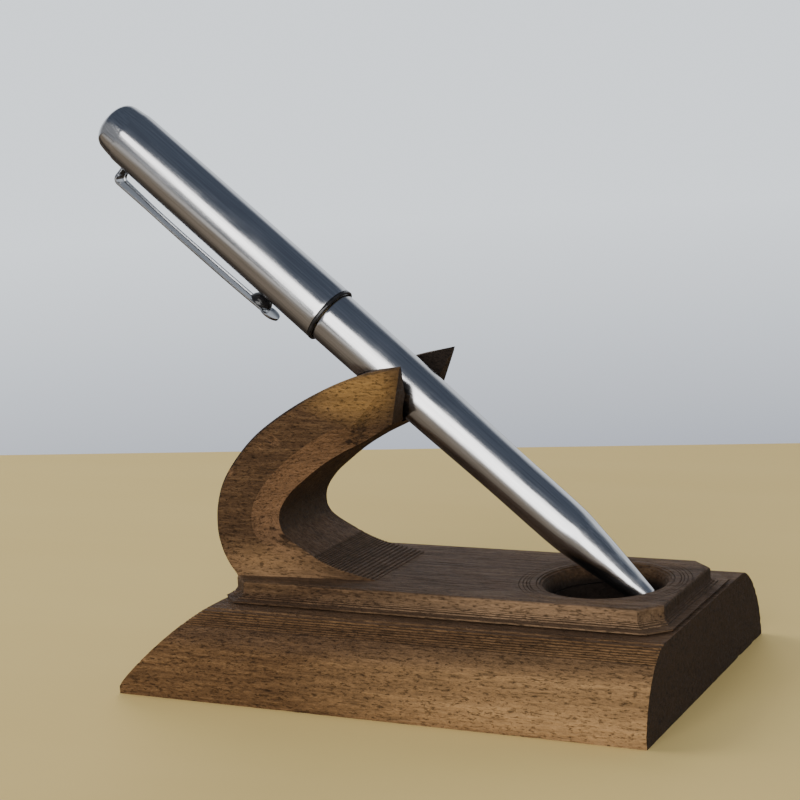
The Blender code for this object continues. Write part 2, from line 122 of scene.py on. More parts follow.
def turned(name, profile, matrix=None, steps=96):
    """Closed turned body through (radius, height) points, which run down its outside.

    A profile that starts on the axis also ends on it; any other is a loop, as of a ring or a tube.
    """
    rings = []
    points = []
    for radius, height in profile:
        if radius == 0.0:
            rings.append([len(points)] * steps)
            points.append((0.0, 0.0, height))
            continue
        rings.append(list(range(len(points), len(points) + steps)))
        for i in range(steps):
            angle = 2 * math.pi * i / steps
            points.append((radius * math.cos(angle), radius * math.sin(angle), height))
    faces = []
    is_loop = profile[0][0] > 0.0
    lower_rings = rings[1:] + rings[:1] if is_loop else rings[1:]
    for upper, lower in zip(rings, lower_rings):
        for i in range(steps):
            j = (i + 1) % steps
            corners = dict.fromkeys((lower[i], lower[j], upper[j], upper[i]))
            faces.append(tuple(corners))
    return piece(name, points, faces, matrix)


def prism(name, outline, half_depth, matrix):
    """Flat outline of (x, z) points thickened along Y."""
    count = len(outline)
    turns = sum(a[0] * b[1] - b[0] * a[1] for a, b in zip(outline, outline[1:] + outline[:1]))
    if turns < 0:
        outline = outline[::-1]
    points = [(x, -half_depth, z) for x, z in outline] + [(x, half_depth, z) for x, z in outline]
    faces = [tuple(range(count)), tuple(reversed(range(count, 2 * count)))]
    for i in range(count):
        j = (i + 1) % count
        faces.append((j, i, count + i, count + j))
    return piece(name, points, faces, matrix)


def combine(target, tools, operation, sharp_degrees=SHARP_DEGREES):
    """Joins the tools to the target or cuts them from it; only the target stays."""
    for tool in tools:
        modifier = target.modifiers.new("combine", "BOOLEAN")
        modifier.operation = operation
        modifier.solver = "EXACT"
        modifier.object = tool
    bpy.context.view_layer.update()
    evaluated = target.evaluated_get(bpy.context.evaluated_depsgraph_get())
    mesh = bpy.data.meshes.new_from_object(evaluated)
    target.modifiers.clear()
    target.data = mesh
    mesh.shade_smooth()
    mesh.set_sharp_from_angle(angle=math.radians(sharp_degrees))
    for tool in tools:
        bpy.data.objects.remove(tool, do_unlink=True)


def finish_piece(obj, material, body, nodes):
    """Gives a piece its material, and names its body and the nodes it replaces."""
    obj.data.materials.clear()
    obj.data.materials.append(material)
    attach(obj, body)
    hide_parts(*nodes)


def blend_points(stations, t):
    """Catmull-Rom blend of equally long tuples of numbers; t runs from 0 to len(stations) - 1."""
    i = min(int(t), len(stations) - 2)
    u = t - i
    before = stations[max(i - 1, 0)]
    after = stations[min(i + 2, len(stations) - 1)]
    result = []
    for a, b, c, d in zip(before, stations[i], stations[i + 1], after):
        slope_b = (c - a) / 2
        slope_c = (d - b) / 2
        result.append((2 * u**3 - 3 * u**2 + 1) * b + (u**3 - 2 * u**2 + u) * slope_b
                      + (3 * u**2 - 2 * u**3) * c + (u**3 - u**2) * slope_c)
    return result


def flowing(points, steps=6):
    """The same curve with more points, without corners."""
    count = (len(points) - 1) * steps
    return [tuple(blend_points(points, i / steps)) for i in range(count + 1)]


def arc(center, radius, start, end, steps):
    """(x, z) points on an arc, angles in degrees from +x."""
    angles = [math.radians(start + (end - start) * i / steps) for i in range(steps + 1)]
    return [(center[0] + radius * math.cos(a), center[1] + radius * math.sin(a)) for a in angles]


def grain_shift(x, y, z):
    """How far a worked surface wanders at a point: long fibres along X, fine chatter, a few small chips."""
    fibre = noise.noise(Vector((x * FIBRE_WAVES[0], y * FIBRE_WAVES[1], z * FIBRE_WAVES[2])))
    chatter = noise.noise(Vector((x * CHATTER_WAVES + CHATTER_SHIFT, y * CHATTER_WAVES, z * CHATTER_WAVES)))
    nick = noise.noise(Vector((x * NICK_WAVES + NICK_SHIFT, y * NICK_WAVES, z * NICK_WAVES)))
    return GRAIN_DEPTH * (0.5 * fibre + 0.5 * chatter) + NICK_DEPTH * max(0.0, nick - NICK_LEVEL)


def worn_ring(ring):
    """Draws the points of a level ring inwards by the wood's grain, so that its plane stays flat."""
    result = []
    for x, y, z in ring:
        shift = abs(grain_shift(x, y, z))
        result.append((x - math.copysign(shift, x), y - math.copysign(shift, y), z))
    return result


# ---- plinth ----------------------------------------------------------------------------------------
plinth_top_z = plinth_high.z
TOOL_STEP = 0.27        # height of the steps that the cutter left near the top of the mouldings
TOOL_STEPS = 8
TOOL_LEDGE = 0.05       # rise of each step's ledge
MOULDING_LEVELS = 26    # levels of the smooth moulding below the steps
PLINTH_PARTS = (110, 60, 110, 60)   # parts of each side of a level outline


def draw_in(z, run, power):
    """How far a moulding lies inside the foot's edge at a height."""
    u = min(max((z - PLINTH_BAND) / (plinth_top_z - PLINTH_BAND), 0.0), 1.0)
    return run * (1.0 - (1.0 - u**power) ** (1.0 / power))


def plinth_ring(z, shape_z):
    """Corners of the plinth's outline at a height, with the moulding's shape taken at shape_z."""
    half = plinth_high.y - draw_in(shape_z, OVOLO_RUN, OVOLO_POWER)
    left = plinth_low.x + draw_in(shape_z, LEFT_RUN, LEFT_POWER)
    right = plinth_high.x
    return [(left, -half, z), (right, -half, z), (right, half, z), (left, half, z)]


def resampled(corners, counts):
    """The outline's sides cut into the given numbers of parts, so that rings match each other."""
    outline = []
    for i, here in enumerate(corners):
        start = Vector(here)
        ahead = Vector(corners[(i + 1) % len(corners)])
        outline += [tuple(start.lerp(ahead, k / counts[i])) for k in range(counts[i])]
    return outline


def make_plinth():
    steps_start = plinth_top_z - TOOL_STEP * TOOL_STEPS
    levels = [(0.0, 0.0), (0.35, 0.0), (PLINTH_BAND, PLINTH_BAND)]
    for i in range(1, MOULDING_LEVELS + 1):
        z = PLINTH_BAND + (steps_start - PLINTH_BAND) * i / MOULDING_LEVELS
        levels.append((z, z))
    for i in range(TOOL_STEPS):
        z = steps_start + TOOL_STEP * i
        levels.append((z + TOOL_LEDGE, z + TOOL_STEP * 0.93))
        levels.append((z + TOOL_STEP, z + TOOL_STEP))
    rings = [worn_ring(resampled(plinth_ring(z, shape), PLINTH_PARTS)) for z, shape in levels]
    return ring_stack("plinth_detail", rings)


# ---- cradle ----------------------------------------------------------------------------------------
# Sections of the arm from its foot to the fork: x and z of the outer edge, x and z of the inner edge,
# half the width at the outer edge, at the crease and at the inner edge, and the crease's place between the
# two edges.
ARM_STATIONS = [
    (-33.6, 15.2, -1.0, 15.9, 12.0, 10.5, 9.6, 0.62),
    (-34.1, 17.1, -8.6, 17.5, 11.8, 10.4, 9.6, 0.62),
    (-35.6, 18.8, -15.9, 19.1, 11.5, 10.4, 9.4, 0.62),
    (-37.2, 21.6, -21.5, 21.6, 11.1, 10.5, 9.0, 0.62),
    (-38.0, 25.3, -25.6, 24.4, 10.8, 10.7, 8.7, 0.62),
    (-37.4, 30.2, -26.1, 27.9, FORK_HALF_WIDTH, FORK_HALF_WIDTH, FORK_INNER_HALF_WIDTH, 0.62),
    (-35.2, 35.0, -23.9, 31.3, FORK_HALF_WIDTH, FORK_HALF_WIDTH, FORK_INNER_HALF_WIDTH, 0.62),
    (-30.4, 40.6, -20.3, 34.3, FORK_HALF_WIDTH, FORK_HALF_WIDTH, FORK_INNER_HALF_WIDTH, 0.62),
    (-24.9, 44.8, -16.5, 37.0, FORK_HALF_WIDTH, FORK_HALF_WIDTH, FORK_INNER_HALF_WIDTH, 0.62),
    (-17.0, 49.2, -12.2, 39.4, FORK_HALF_WIDTH, FORK_HALF_WIDTH, FORK_INNER_HALF_WIDTH, 0.62),
    (-8.5, 52.6, -7.9, 41.4, FORK_HALF_WIDTH, FORK_HALF_WIDTH, FORK_INNER_HALF_WIDTH, 0.66),
    (0.78, 54.6, -2.6, 44.4, FORK_HALF_WIDTH, FORK_HALF_WIDTH, FORK_INNER_HALF_WIDTH, 0.08),
]
SECTIONS_PER_STATION = 20
OUTER_PARTS, INNER_PARTS = 7, 5     # parts of the arm's side outside and inside the crease
ACROSS_PARTS = 10                   # parts of the arm's back and of its inner face
ARM_CHAMFER = 0.4       # softened edge along the arm's back
FILLET_STATIONS = 3     # up to this station the arm runs into the deck
FILLET_SECTIONS = 70    # sections per station there
FILLET_STEP = 0.17      # height of the steps that the cutter left there
FILLET_TOP_Z = 20.6
RISER_SHARE = 0.15      # share of a step that is its riser
NOTCH_DEPTH = 0.16      # the cutter's tip scored a line along the foot of each riser
NOTCH_MIDDLE, NOTCH_HALF = 0.78, 0.14
DECK_PARTS = (90, 5, 30, 5, 90, 5, 30, 5)   # parts of each side of the deck's outline
COVE_STEPS = 5
COVE_LIP = 0.25         # upright edge under the cove
EDGE_STEPS = 6          # parts of the rounding along the deck's top edge
RIM_GROOVE_RADII = (12.6, 13.1, 13.7, 14.4)
RIM_GROOVE_DEPTH, RIM_GROOVE_HALF_WIDTH = 0.16, 0.2


def stepped(z, low, step):
    """A height rounded down to the cutter's steps, with short risers between level ledges."""
    count = math.floor((z - low) / step)
    share = (z - low) / step - count
    riser = max(0.0, (share - 1.0 + RISER_SHARE) / RISER_SHARE)
    notch = max(0.0, 1.0 - abs(share - NOTCH_MIDDLE) / NOTCH_HALF)
    return low + step * (count + riser) - NOTCH_DEPTH * notch


def arm_ring(t):
    """Section of the arm at a place between its stations, as a ring from the front's outer edge."""
    outer_x, outer_z, inner_x, inner_z, outer_y, crease_y, inner_y, share = blend_points(ARM_STATIONS, t)
    crease_x = outer_x + (inner_x - outer_x) * share
    crease_z = outer_z + (inner_z - outer_z) * share
    if DECK_TOP_Z < inner_z < FILLET_TOP_Z and t < FILLET_STATIONS:
        inner_z = stepped(inner_z, DECK_TOP_Z, FILLET_STEP)
    width = math.hypot(inner_x - outer_x, inner_z - outer_z)
    near = []
    for i in range(OUTER_PARTS):
        k = i / OUTER_PARTS if i else min(ARM_CHAMFER / (width * share), 0.1)
        near.append((outer_x + (crease_x - outer_x) * k, -outer_y + (outer_y - crease_y) * k,
                     outer_z + (crease_z - outer_z) * k))
    for i in range(INNER_PARTS):
        k = i / INNER_PARTS
        near.append((crease_x + (inner_x - crease_x) * k, -crease_y + (crease_y - inner_y) * k,
                     crease_z + (inner_z - crease_z) * k))
    near.append((inner_x, -inner_y, inner_z))
    near = [(x, y + abs(grain_shift(x, y, z)), z) for x, y, z in near]
    inner_face = [(inner_x, inner_y * (-1 + 2 * k / ACROSS_PARTS), inner_z) for k in range(1, ACROSS_PARTS)]
    far = [(x, -y, z) for x, y, z in reversed(near)]
    back_half = outer_y - ARM_CHAMFER
    back = [(outer_x, back_half * (1 - 2 * k / ACROSS_PARTS), outer_z) for k in range(ACROSS_PARTS + 1)]
    return near + inner_face + far + back


def deck_ring(z, side, left, right):
    """The deck's outline at a height, grown by the given amounts at its sides and ends."""
    x0, x1 = DECK_LEFT_X - left, DECK_RIGHT_X + right
    y, c = DECK_HALF_WIDTH + side, DECK_CHAMFER
    corners = [(x0 + c, -y, z), (x1 - c, -y, z), (x1, -y + c, z), (x1, y - c, z),
               (x1 - c, y, z), (x0 + c, y, z), (x0, y - c, z), (x0, -y + c, z)]
    return worn_ring(resampled(corners, DECK_PARTS))


def make_deck():
    rings = [deck_ring(cradle_low.z, COVE_SIDE, COVE_LEFT, COVE_RIGHT)]
    for i in range(COVE_STEPS + 1):
        climb = i / COVE_STEPS
        z = cradle_low.z + COVE_LIP + COVE_HEIGHT * climb
        flare = 1.0 - math.sqrt(1.0 - (1.0 - climb) ** 2)
        rings.append(deck_ring(z, COVE_SIDE * flare, COVE_LEFT * flare, COVE_RIGHT * flare))
        if i < COVE_STEPS:
            next_flare = 1.0 - math.sqrt(1.0 - (1.0 - (i + 0.9) / COVE_STEPS) ** 2)
            rings.append(deck_ring(z + 0.04, COVE_SIDE * next_flare, COVE_LEFT * next_flare,
                                   COVE_RIGHT * next_flare))
    for i in range(EDGE_STEPS + 1):
        turn = math.pi / 2 * i / EDGE_STEPS
        inset = DECK_EDGE_RADIUS * (1.0 - math.cos(turn))
        z = DECK_TOP_Z - DECK_EDGE_RADIUS * (1.0 - math.sin(turn))
        rings.append(deck_ring(z, -inset, -inset, -inset))
    return ring_stack("cradle_detail", rings)


def hollow_cutter():
    """The hollow with the fine rings that the cutter left round its rim."""
    rim = arc((HOLLOW_RADIUS + HOLLOW_RIM, DECK_TOP_Z + 0.05 - HOLLOW_RIM), HOLLOW_RIM, 90, 180, 5)
    profile = [(0.0, CUT_TOP_Z), (rim[0][0], CUT_TOP_Z), rim[0]]
    for before, after in zip(rim, rim[1:]):
        profile += [(after[0] + 0.24, before[1] + 0.02), (after[0] + 0.12, before[1] - 0.24), after]
    fillet_middle = (HOLLOW_RADIUS - HOLLOW_FLOOR_INSET, HOLLOW_FLOOR_Z + HOLLOW_FLOOR_FILLET)
    profile += arc(fillet_middle, HOLLOW_FLOOR_FILLET, 0, -90, 10)
    profile += [(0.0, HOLLOW_FLOOR_Z)]
    return turned("hollow_cutter", profile, Matrix.Translation((HOLLOW_X * MM, 0, 0)), steps=128)


def rim_grooves():
    """Faint rings that the cutter scored in the deck round the hollow."""
    tools = []
    above = DECK_TOP_Z + 0.3
    for i, radius in enumerate(RIM_GROOVE_RADII):
        profile = [(radius + RIM_GROOVE_HALF_WIDTH, above), (radius, DECK_TOP_Z - RIM_GROOVE_DEPTH),
                   (radius - RIM_GROOVE_HALF_WIDTH, above)]
        tools.append(turned(f"rim_groove_{i}", profile, Matrix.Translation((HOLLOW_X * MM, 0, 0)), steps=96))
    return tools


def groove_cutter():
    """Round-bottomed trough that opens upwards: it splits the arm's tip into the fork's two prongs."""
    outline = [(14.2, 11.0), (6.2, 1.2)]
    outline += arc((0.0, 0.5), GROOVE_RADIUS, 0, -180, 40)
    outline += [(-6.2, 1.2), (-14.2, 11.0)]
    place = pen_origin + pen_direction * GROOVE_S - pen_across * 0.1
    turn = Matrix.Rotation(GROOVE_TILT, 4, "Y") @ Matrix.Rotation(math.pi / 2, 4, "Z")
    return prism("groove_cutter", outline, 16.0, Matrix.Translation(place * MM) @ turn)


def screw_hole(node):
    """Countersunk hole round a screw, seen from below."""
    low, high = (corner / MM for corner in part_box(node))
    middle = (low + high) / 2
    shank, head, top = 2.2, 3.9, high.z + 0.3
    profile = [(0.0, top), (shank, top - 2.0), (shank, 3.4), (head, 1.1), (head, -1.0), (0.0, -1.0)]
    return turned(node + "_hole", profile, Matrix.Translation((middle.x * MM, middle.y * MM, 0)), steps=32)


def make_stand(base_wood, deck_wood):
    plinth = make_plinth()
    combine(plinth, [hollow_cutter(), screw_hole("stand_screw_front"), screw_hole("stand_screw_rear")],
            "DIFFERENCE")
    finish_piece(plinth, base_wood, "stand", ["plinth"])
    cradle = make_deck()
    fillet = [i / FILLET_SECTIONS for i in range(FILLET_STATIONS * FILLET_SECTIONS)]
    rest = (len(ARM_STATIONS) - 1 - FILLET_STATIONS) * SECTIONS_PER_STATION
    bend = [FILLET_STATIONS + i / SECTIONS_PER_STATION for i in range(rest + 1)]
    arm = ring_stack("arm", [arm_ring(t) for t in fillet + bend])
    combine(cradle, [arm], "UNION")
    combine(cradle, [hollow_cutter(), groove_cutter(), screw_hole("stand_screw_front"),
                     screw_hole("stand_screw_rear"), *rim_grooves()], "DIFFERENCE", WORKED_SHARP_DEGREES)
    finish_piece(cradle, deck_wood, "stand", ["cradle"])


# ---- pen -------------------------------------------------------------------------------------------
BARREL_TOP, CAP_BOTTOM, CAP_END = 68.75, 69.5, 124.25
CLIP_S, CLIP_HALF_WIDTH, CLIP_THICKNESS = 117.3, 1.3, 0.5
CLIP_BEND, CLIP_DISC_RADIUS = 1.0, 1.9
CLIP_BEAD, DISC_BEAD = 0.21, 0.02   # how far the beads along the strip's and the disc's edges stand out
CLIP_SHOULDER, CLIP_SHOULDER_START, CLIP_SHOULDER_END = 0.55, 1.7, 12.0
BOSS_S, BOSS_CROWN_X = 81.2, -5.58


def make_barrel(steel):
    outside = flowing([(4.80, 68.6), (4.76, 60.8), (4.59, 44.7), (4.41, 36.0), (4.25, 27.4), (4.22, 19.0),
                       (4.15, 13.9), (3.98, 11.4), (3.64, 8.8), (3.22, 5.5), (2.72, 2.2), (2.35, -0.3),
                       (2.08, -2.0), (1.82, -4.1)], 8)
    rim = [(4.6, BARREL_TOP), (4.74, 68.72)]
    nose = [(1.75, -4.32), (1.65, -4.4), (1.4, -4.4)]
    bore = [(1.4, 4.8), (2.65, 4.8), (3.3, 9.5), (3.7, 13.9), (3.7, 27.4), (4.26, 60.8), (4.3, 68.5)]
    barrel = turned("barrel_detail", rim + outside + nose + bore, pen_matrix, steps=160)
    finish_piece(barrel, steel, "pen", ["pen_barrel"])


def make_cap(steel):
    dome = flowing([(0.0, CAP_END), (2.2, 124.14), (3.45, 123.88), (4.15, 123.45), (4.6, 122.75),
                    (4.82, 121.7), (5.05, 119.5), (5.18, 117.0), (5.24, 96.0), (5.26, 76.0), (5.28, 69.8)], 8)
    mouth = [(5.25, CAP_BOTTOM + 0.03), (5.15, CAP_BOTTOM), (4.93, CAP_BOTTOM)]
    bore = [(4.89, 70.2), (4.75, 117.0), (4.6, 119.5), (4.35, 121.7), (3.9, 122.6), (0.0, 123.3)]
    cap = turned("cap_detail", dome + mouth + bore, pen_matrix, steps=160)
    slot_outline = [(-6.2, CLIP_S - 0.6), (-4.4, CLIP_S - 0.6), (-4.4, CLIP_S + 0.6), (-6.2, CLIP_S + 0.6)]
    slot = prism("clip_slot", slot_outline, CLIP_HALF_WIDTH + 0.3, pen_matrix)
    combine(cap, [slot], "DIFFERENCE")
    finish_piece(cap, steel, "cap", ["cap_shell"])


def make_ring(black):
    profile = [(5.24, 69.42), (5.31, 69.39), (5.33, 69.32), (5.33, 69.02), (5.31, 68.95), (5.2, 68.88),
               (5.1, 68.8), (4.84, 68.8), (4.84, 69.42)]
    ring = turned("ring_detail", profile, pen_matrix, steps=128)
    finish_piece(ring, black, "cap", ["cap_ring"])


def clip_section(half_width, rib):
    """Section across the strip: (across the strip, out from the pen) with a raised bead at each edge."""
    thick = CLIP_THICKNESS / 2
    bead = half_width * 0.36
    groove = thick - rib
    inner_groove = -thick + rib * 0.9
    return [(-half_width, -thick), (-half_width + bead, -thick), (-half_width + bead + 0.1, inner_groove),
            (half_width - bead - 0.1, inner_groove), (half_width - bead, -thick), (half_width, -thick),
            (half_width + 0.03, 0.0), (half_width - 0.04, thick * 0.75), (half_width - 0.14, thick),
            (half_width - bead + 0.08, thick), (half_width - bead - 0.1, groove),
            (-half_width + bead + 0.1, groove), (-half_width + bead - 0.08, thick),
            (-half_width + 0.14, thick), (-half_width + 0.04, thick * 0.75), (-half_width - 0.03, 0.0)]


def clip_width(distance_to_end, distance_to_root):
    """Half width and bead height of the strip, with shoulders outside the cap and a round disc at its end."""
    if distance_to_end < 2 * CLIP_DISC_RADIUS:
        offset = distance_to_end - CLIP_DISC_RADIUS
        disc = math.sqrt(max(CLIP_DISC_RADIUS**2 - offset**2, 0.02))
        if offset < 0:
            return disc, DISC_BEAD
        fade = min(1.0, offset / CLIP_DISC_RADIUS)
        return max(disc, CLIP_HALF_WIDTH), DISC_BEAD + (CLIP_BEAD - DISC_BEAD) * fade
    shoulder = min(max(distance_to_root - CLIP_SHOULDER_START, 0.0), 1.0)
    taper = max(0.0, 1.0 - distance_to_root / CLIP_SHOULDER_END)
    return CLIP_HALF_WIDTH + CLIP_SHOULDER * shoulder * taper, CLIP_BEAD


def make_clip(steel, black):
    """The bent strip, swept along its path in (out from the axis, along the pen), and its boss."""
    path = [(-4.0, CLIP_S), (-5.4, CLIP_S), (-6.9, CLIP_S)]
    path += arc((-6.9, CLIP_S - CLIP_BEND), CLIP_BEND, 90, 180, 12)[1:]
    path += flowing([(-7.9, 115.6), (-7.98, 108.0), (-8.0, 100.0), (-7.85, 88.0), (-7.62, 81.0),
                     (-7.53, 79.6), (-7.5, 78.6), (-7.5, 77.6), (-7.52, 76.8)], 6)
    lengths = [0.0]
    for before, here in zip(path, path[1:]):
        lengths.append(lengths[-1] + (Vector(here) - Vector(before)).length)
    points = []
    sections = []
    for i, place in enumerate(path):
        here = Vector(place)
        ahead = Vector(path[min(i + 1, len(path) - 1)])
        behind = Vector(path[max(i - 1, 0)])
        direction = (ahead - behind).normalized()
        outward = Vector((direction.y, -direction.x))
        section = []
        for across, out in clip_section(*clip_width(lengths[-1] - lengths[i], lengths[i])):
            corner = here + outward * out
            section.append(len(points))
            points.append((corner.x, across, corner.y))
        sections.append(section)
    count = len(sections[0])
    faces = [tuple(reversed(sections[0])), tuple(sections[-1])]
    for first, second in zip(sections, sections[1:]):
        for i in range(count):
            j = (i + 1) % count
            faces.append((first[i], first[j], second[j], second[i]))
    clip = piece("clip_detail", points, faces, pen_matrix, sharp_degrees=40)
    finish_piece(clip, steel, "clip", ["clip"])

    crown = flowing([(0.0, 0.0), (0.78, -0.07), (1.4, -0.34), (1.82, -0.76), (2.02, -1.1), (2.08, -1.33)], 6)
    boss_matrix = pen_matrix @ Matrix.Translation((BOSS_CROWN_X * MM, 0, BOSS_S * MM)) \
        @ Matrix.Rotation(math.pi / 2, 4, "Y")
    boss = turned("clip_boss", crown + [(2.0, -1.37), (0.0, -1.37)], boss_matrix, steps=72)
    finish_piece(boss, black, "clip", ["clip_ball"])


def make_point(brass):
    profile = [(0.85, 8.0), (0.85, 5.0), (1.1, 5.0), (1.1, -4.7), (0.98, -5.0), (0.6, -5.9), (0.5, -6.05),
               (0.3, -6.05), (0.3, 8.0)]
    point = turned("point_detail", profile, pen_matrix, steps=64)
    finish_piece(point, brass, "refill", ["refill_point"])


# ---- materials -------------------------------------------------------------------------------------
def node(tree, kind, inputs=None, **settings):
    """Adds a shader node; an input is a value or another node's output."""
    made = tree.nodes.new(kind)
    for name, value in settings.items():
        setattr(made, name, value)
    for name, value in (inputs or {}).items():
        if isinstance(value, bpy.types.NodeSocket):
            tree.links.new(value, made.inputs[name])
        else:
            made.inputs[name].default_value = value
    return made


def new_material(name):
    """Empty node material with its tree, its shader and the place on the piece, in metres."""
    material = bpy.data.materials.new(name)
    material.use_nodes = True
    tree = material.node_tree
    shader = tree.nodes["Principled BSDF"]
    place = node(tree, "ShaderNodeTexCoord").outputs["Object"]
    return material, tree, shader, place


def stretched_noise(tree, place, scale, detail=4.0, roughness=0.6, distortion=0.0, shift=(0, 0, 0)):
    """Noise whose features are 1/scale metres along X, Y and Z; its output is about 0.3 to 0.7."""
    space = node(tree, "ShaderNodeMapping", {"Vector": place, "Scale": scale, "Location": shift})
    made = node(tree, "ShaderNodeTexNoise", {"Vector": space.outputs["Vector"], "Scale": 1.0,
                                             "Detail": detail, "Roughness": roughness,
                                             "Distortion": distortion})
    return made.outputs["Fac"]


def remap(tree, value, low, high, to_low=0.0, to_high=1.0):
    """Straight line through (low, to_low) and (high, to_high), held level past both."""
    made = node(tree, "ShaderNodeMapRange", {"Value": value, "From Min": low, "From Max": high,
                                             "To Min": to_low, "To Max": to_high})
    return made.outputs["Result"]


def maths(tree, operation, a, b=0.0):
    made = node(tree, "ShaderNodeMath", operation=operation)
    for index, value in enumerate((a, b)):
        if isinstance(value, bpy.types.NodeSocket):
            tree.links.new(value, made.inputs[index])
        else:
            made.inputs[index].default_value = value
    return made.outputs[0]


def mix(tree, factor, a, b):
    """Color a at factor 0 and b at factor 1; each is a color or another node's output."""
    made = node(tree, "ShaderNodeMix", data_type="RGBA")
    for index, value in ((0, factor), (6, a), (7, b)):
        if isinstance(value, bpy.types.NodeSocket):
            tree.links.new(value, made.inputs[index])
        elif index == 0:
            made.inputs[index].default_value = value
        else:
            made.inputs[index].default_value = (*value, 1.0)
    return made.outputs[2]


def darker(color, share):
    return tuple(value * share for value in color)


def spot(tree, place, centre, size, full=0.25):
    """1 at a place in the wood, falling to 0 at an ellipsoid of that size; the stand's halves match."""
    parts = node(tree, "ShaderNodeSeparateXYZ", {"Vector": place})
    folded = node(tree, "ShaderNodeCombineXYZ", {"X": parts.outputs["X"], "Z": parts.outputs["Z"],
                                                 "Y": maths(tree, "ABSOLUTE", parts.outputs["Y"])})
    scale = tuple(1.0 / (value * MM) for value in size)
    location = tuple(-c / s for c, s in zip(centre, size))
    space = node(tree, "ShaderNodeMapping", {"Vector": folded.outputs[0], "Location": location,
                                             "Scale": scale})
    distance = node(tree, "ShaderNodeVectorMath", {0: space.outputs["Vector"]}, operation="LENGTH")
    return remap(tree, distance.outputs["Value"], 1.0, full)


FORK_CUT_Z = 36.0       # the groove's cut faces lie above this height
# dark end grain of the groove's faces, and painted shade inside the hollow
GROOVE_GRAIN_AND_HOLLOW_SHADE = (0.022, 0.014, 0.009)
# dark end grain, partly the wood's own and partly painted shade on the end faces
END_GRAIN_AND_SHADE = (0.055, 0.03, 0.0125)
# painted light: the greyer tone that faces looking up take on
PAINTED_LEVEL_LIGHT = (0.145, 0.084, 0.049)


def arm_edges(tree, place, color, tone, normal, dark, bevel_light):
    """Paints light on the chamfered face inside the arm's crease, making it paler, then colors the dark softened
    edge along its back.
    """
    lean = maths(tree, "ABSOLUTE", normal.outputs["Y"])
    # painted light: the chamfered face inside the crease, told by its lean, is made paler
    mask = maths(tree, "MULTIPLY", remap(tree, lean, 0.985, 0.965), remap(tree, lean, 0.84, 0.87))
    mask = maths(tree, "MULTIPLY", mask, spot(tree, place, (-20.0, 9.0, 30.0), (24.0, 14.0, 24.0)))
    color = mix(tree, mask, color, mix(tree, tone, darker(bevel_light, 0.5), bevel_light))
    edge = maths(tree, "MULTIPLY", remap(tree, lean, 0.85, 0.82), remap(tree, lean, 0.4, 0.5))
    edge = maths(tree, "MULTIPLY", edge, spot(tree, place, (-18.0, 9.0, 38.0), (30.0, 14.0, 30.0), 0.9))
    return mix(tree, edge, color, mix(tree, tone, darker(dark, 0.5), dark))


def groove_grain_and_hollow_shade(tree, place, normal):
    """1 on the fork's groove faces, whose cut end grain is dark, and in the hollow, where it paints the shade
    inside the recess.
    """
    height = node(tree, "ShaderNodeSeparateXYZ", {"Vector": place}).outputs["Z"]
    groove = maths(tree, "MULTIPLY", remap(tree, normal.outputs["X"], 0.15, 0.25),
                   remap(tree, normal.outputs["Z"], 0.15, 0.25))
    groove = maths(tree, "MULTIPLY", groove, remap(tree, height, FORK_CUT_Z * MM, (FORK_CUT_Z + 2.0) * MM))
    return maths(tree, "MAXIMUM", groove, spot(tree, place, (HOLLOW_X, 0.0, 10.0), (13.0, 13.0, 9.0), 0.9))


